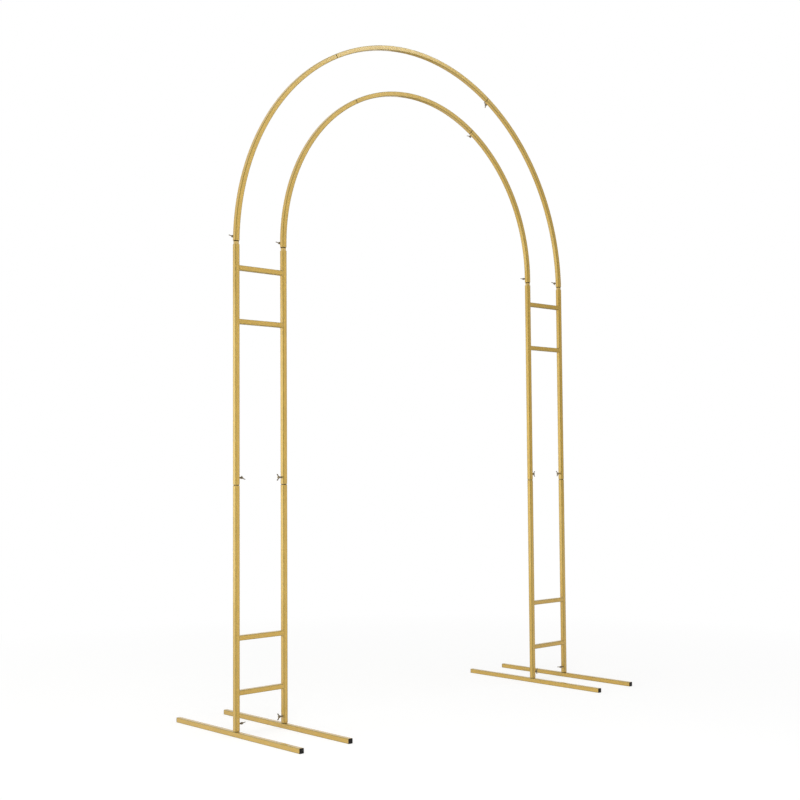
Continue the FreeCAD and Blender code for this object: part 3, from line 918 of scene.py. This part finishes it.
X, Y, Z = Vector((1, 0, 0)), Vector((0, 1, 0)), Vector((0, 0, 1))
for side_name in SIDES:
    joints = []
    for level in RUNG_LEVELS:
        low, high = (Vector(corner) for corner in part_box("rung_%s_%s" % (side_name, level)))
        middle = (low + high) / 2
        for end in (low.x, high.x):
            joints.append(loop(Vector((end, middle.y, middle.z)), Y, Z,
                               GROOVE, TUBE["Side"] / 2, TUBE["Corner"]))
    welds("rung_welds_" + side_name, joints, RUNG_BEAD)
# The beads at the feet are painted dark all over: painted shade in the gap under the uprights.
welds("foot_welds", [loop(on_leg(ring, side, foot_top), X, Y, SPIGOT["Side"] / 2,
                          SPIGOT["Side"] / 2, SPIGOT["Corner"]) for side, ring in LEGS],
      FOOT_BEAD, gap_shade=1.0)

# %% [markdown]
# ## The head of a wing screw
# Sixteen wing screws clamp the joints. Each is a small casting, a hub with two wings that spread
# away from the tube, on a threaded shank. The casting is drawn as a coarse cage, an eight-sided
# hub with a wing pulled out of either side, and subdivision rounds it as a mould would. The
# numbers are in millimetres: the height and width of the hub at each level, and for each section
# of a wing how far out it is, its bottom, its top and half its thickness.

# %% The head of a wing screw
SHANK_LENGTH = 10.25 * MM
HUB_SIDES = 8
HUB_LEVELS = ((0.0, 6.4), (0.4, 7.7), (3.0, 7.8), (6.6, 6.6), (7.0, 5.6))
WING_LEVEL = 2
WING_SIDES = {0: 1, 4: -1}
WING_SECTIONS = ((5.0, 3.4, 8.2, 1.35), (7.4, 4.9, 10.9, 1.25), (9.4, 6.0, 11.6, 1.2),
                 (10.3, 7.4, 10.6, 0.9))


def band(form, low, high, skipped=()):
    """Faces from one ring of points to the next."""
    for number in range(len(low)):
        if number not in skipped:
            after = (number + 1) % len(low)
            form.faces.new((low[number], low[after], high[after], high[number]))


def cover(form, rings, openings=()):
    """Faces through a row of rings and over both ends, but for openings in the bands."""
    for level, (low, high) in enumerate(zip(rings, rings[1:])):
        band(form, low, high, dict(openings).get(level, ()))
    form.faces.new(list(reversed(rings[0])))
    form.faces.new(rings[-1])


def finished(form, name):
    """Turns a form into a mesh."""
    mesh = bpy.data.meshes.new(name)
    form.to_mesh(mesh)
    form.free()
    return mesh


def wing_head():
    """Cage of the hub and wings, standing on the end of the shank."""
    form = bmesh.new()
    rings = []
    half_turn = math.pi / HUB_SIDES
    for height, width in HUB_LEVELS:
        reach = width * MM / 2 / math.cos(half_turn)
        angles = [(2 * corner - 1) * half_turn for corner in range(HUB_SIDES)]
        rings.append([form.verts.new((reach * math.cos(angle), reach * math.sin(angle),
                                      SHANK_LENGTH + height * MM)) for angle in angles])
    cover(form, rings, {WING_LEVEL: WING_SIDES})
    for corner, side in WING_SIDES.items():
        low, high = rings[WING_LEVEL], rings[WING_LEVEL + 1]
        edge = [low[corner], low[corner + 1], high[corner + 1], high[corner]]
        for out, bottom, top, half in WING_SECTIONS:
            spots = ((-half, bottom), (half, bottom), (half, top), (-half, top))
            section = [form.verts.new((side * out * MM, side * across * MM,
                                       SHANK_LENGTH + height * MM)) for across, height in spots]
            band(form, edge, section)
            edge = section
        form.faces.new(edge)
    return finished(form, "wing_head")


head = new_object("wing_head", wing_head())
print("cage of a head:", len(head.data.polygons), "faces")

# %% [markdown]
# ## The thread of a wing screw
# The shank is a cylinder of many short rings. A tree moves its surface in and out along a rising
# spiral, which makes a real thread, and tapers the tip so that it starts easily in its hole.

# %% The thread of a wing screw
def threaded_shank_tree():
    """Adds a threaded shank to the head that it is given."""
    tree, given, made = new_group(
        "threaded_shank", "GeometryNodeTree",
        {"Head": "Geometry", "Length": SHANK_LENGTH, "Radius": 2.5 * MM, "Pitch": 0.8 * MM,
         "Depth": 0.4 * MM, "Finish": "Material"}, {"Screw": "Geometry"})
    turns = maths(tree, "DIVIDE", given["Length"], given["Pitch"])
    bar = add(tree, "GeometryNodeMeshCylinder", {
        "Vertices": 16, "Side Segments": product(tree, turns, 6.0),
        "Radius": given["Radius"], "Depth": given["Length"]})
    lift = add(tree, "ShaderNodeCombineXYZ", {2: product(tree, given["Length"], 0.5)})
    bar = add(tree, "GeometryNodeTransform", {"Geometry": bar, "Translation": lift})
    place = add(tree, "GeometryNodeInputPosition")
    x, y, z = add(tree, "ShaderNodeSeparateXYZ", {0: place}).outputs
    around = maths(tree, "DIVIDE", maths(tree, "ARCTAN2", y, x), math.tau)
    climb = maths(tree, "SUBTRACT", maths(tree, "DIVIDE", z, given["Pitch"]), around)
    groove = product(tree, maths(tree, "PINGPONG", climb, 0.5), 2.0)
    cut = product(tree, groove, maths(tree, "DIVIDE", given["Depth"], given["Radius"]))
    lead = span(tree, z, 0.0, 0.9 * MM, 0.72, 1.0)
    size = product(tree, lead, maths(tree, "SUBTRACT", 1.0, cut))
    flat = add(tree, "ShaderNodeCombineXYZ", {0: size, 1: size, 2: 1.0})
    moved = add(tree, "ShaderNodeVectorMath", {0: place, 1: flat}, operation="MULTIPLY")
    thread = add(tree, "GeometryNodeSetPosition", {"Geometry": bar, "Position": moved})
    whole = add(tree, "GeometryNodeJoinGeometry", {0: [given["Head"], thread]})
    plug(tree, shaded(tree, whole, given["Finish"]), made["Screw"])
    return tree


rounding = head.modifiers.new("rounding", "SUBSURF")
rounding.levels = rounding.render_levels = 2
use_tree(head, threaded_shank_tree(), {"Finish": STEEL})
SCREW = plain_piece(head, "wing_screw_pattern")
print("wing screw:", len(SCREW.data.polygons), "faces,",
      [round(size / MM, 2) for size in SCREW.dimensions], "mm")

# %% [markdown]
# ## Setting copies in place
# The screws and caps are like pieces, so each is made once and copied. A tree puts a copy on each
# point of a small mesh, turned by the angles that the point carries. Hands have tightened the
# screws, so their wings stand at different angles.

# %% The tree for copies, and the wing screws
def copies_tree():
    """Puts a copy of the pattern on each spot, turned by its aim."""
    tree, given, made = new_group(
        "copies_in_place", "GeometryNodeTree",
        {"Spots": "Geometry", "Pattern": "Object", "Finish": "Material"}, {"Pieces": "Geometry"})
    pattern = add(tree, "GeometryNodeObjectInfo", {"Object": given["Pattern"]})
    angles = add(tree, "GeometryNodeInputNamedAttribute", {"Name": "aim"},
                 data_type="FLOAT_VECTOR")
    facing = add(tree, "FunctionNodeEulerToRotation", {0: angles})
    copies = add(tree, "GeometryNodeInstanceOnPoints", {
        "Points": given["Spots"], "Instance": pattern.outputs["Geometry"], "Rotation": facing})
    real = add(tree, "GeometryNodeRealizeInstances", {0: copies})
    done = add(tree, "GeometryNodeSetMaterial", {"Geometry": real, "Material": given["Finish"]})
    plug(tree, done, made["Pieces"])
    return tree


COPIES = copies_tree()


def copies(name, pattern, spots, finish, slot):
    """Copies of a pattern at places, each with its own turn, standing for the solid so named."""
    mesh = bpy.data.meshes.new(name + "_spots")
    mesh.from_pydata([place for place, turn in spots], [], [])
    aim = mesh.attributes.new("aim", "FLOAT_VECTOR", "POINT")
    for number, (place, turn) in enumerate(spots):
        aim.data[number].vector = turn.to_euler()
    thing = new_object(name + "_spots", mesh)
    use_tree(thing, COPIES, {"Pattern": pattern, "Finish": finish})
    piece = plain_piece(thing, name)
    set_up(piece, slot, name)
    print(name, len(spots), "copies,", len(piece.data.polygons), "faces")


TURNS = {"foot": (65, 0, 90, 10), "mid": (-60, 0, 10, 0),
         "spring": (25, 20, 25, 5), "crown": (-28, -28, 80, 10)}
SOCKETS = {"foot": foot_top + FOOT_GAP, "mid": mid_socket}
tip_out = SPIGOT["Side"] / 2
for joint, turns in TURNS.items():
    spots = []
    for (side, ring), degrees in zip(LEGS, turns):
        wings = Matrix.Rotation(math.radians(degrees), 3, "Z")
        if joint in SOCKETS:
            inwards = towards_partner(ring, side)
            height = SOCKETS[joint] + JOINT_SCREW
            place = (side * HALF[ring] + inwards * tip_out, 0, height)
            facing = Matrix.Rotation(inwards * math.radians(90), 3, "Y")
        else:
            angle = low_screw_angle(ring) if joint == "spring" else high_screw_angle(ring)
            place = on_arch(ring, side, angle, tip_out)
            facing = Matrix.Rotation(math.radians(-90), 3, "X")
        spots.append((place, facing @ wings))
    copies(joint + "_wing_screws", SCREW, spots, STEEL, "dark_steel")
bpy.data.objects.remove(SCREW)

# %% [markdown]
# ## End caps
# A moulded cap closes each end of a foot bar: a square flange with a softened rim that covers the
# cut edge, and a hollow plug that grips the bore. A small round mark is left in the middle where
# the plastic entered the mould. Every section of it is a square with rounded corners, so it is
# drawn as one skin through a row of such squares, from that mark to the inside of the plug. Each
# has its height, half its width and the radius of its corners, in millimetres.

# %% End caps
CAP_LEVELS = ((-1.8, 0.7, 0.69), (-1.82, 1.0, 0.99), (-2.0, 1.2, 1.19), (-2.0, 6.4, 1.1),
              (-1.9, 6.95, 1.3), (-1.6, 7.3, 1.4), (-1.1, 7.48, 1.4), (-0.1, 7.5, 1.4),
              (0.0, 7.4, 1.4), (0.0, 6.2, 0.8), (11.5, 6.2, 0.8), (14.0, 5.7, 0.7),
              (14.0, 4.6, 0.6), (1.2, 4.6, 0.6))
CAP_SHARP_BEND = math.radians(50)


def end_cap():
    """A cap along Z, with its flange below zero and its plug above."""
    form = bmesh.new()
    rings = [[form.verts.new((across * MM, along * MM, height * MM))
              for across, along in rounded_corners(half, half, corner)]
             for height, half, corner in CAP_LEVELS]
    cover(form, rings)
    for face in form.faces:
        face.smooth = True
    mesh = finished(form, "end_cap")
    mesh.set_sharp_from_angle(angle=CAP_SHARP_BEND)
    cap = new_object("end_cap", mesh)
    even_normals(cap)
    return plain_piece(cap, "end_cap_pattern")


CAP = end_cap()
for side_name, side in SIDES.items():
    for ring in RINGS:
        low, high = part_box("foot_bar_%s_%s" % (side_name, ring))
        middle = (Vector(low) + Vector(high)) / 2
        spots = [((middle.x, edge, middle.z), Matrix.Rotation(end * math.radians(90), 3, "X"))
                 for end, edge in ((-1, low[1]), (1, high[1]))]
        copies("end_caps_%s_%s" % (side_name, ring), CAP, spots, PLASTIC, "black_plastic")
bpy.data.objects.remove(CAP)
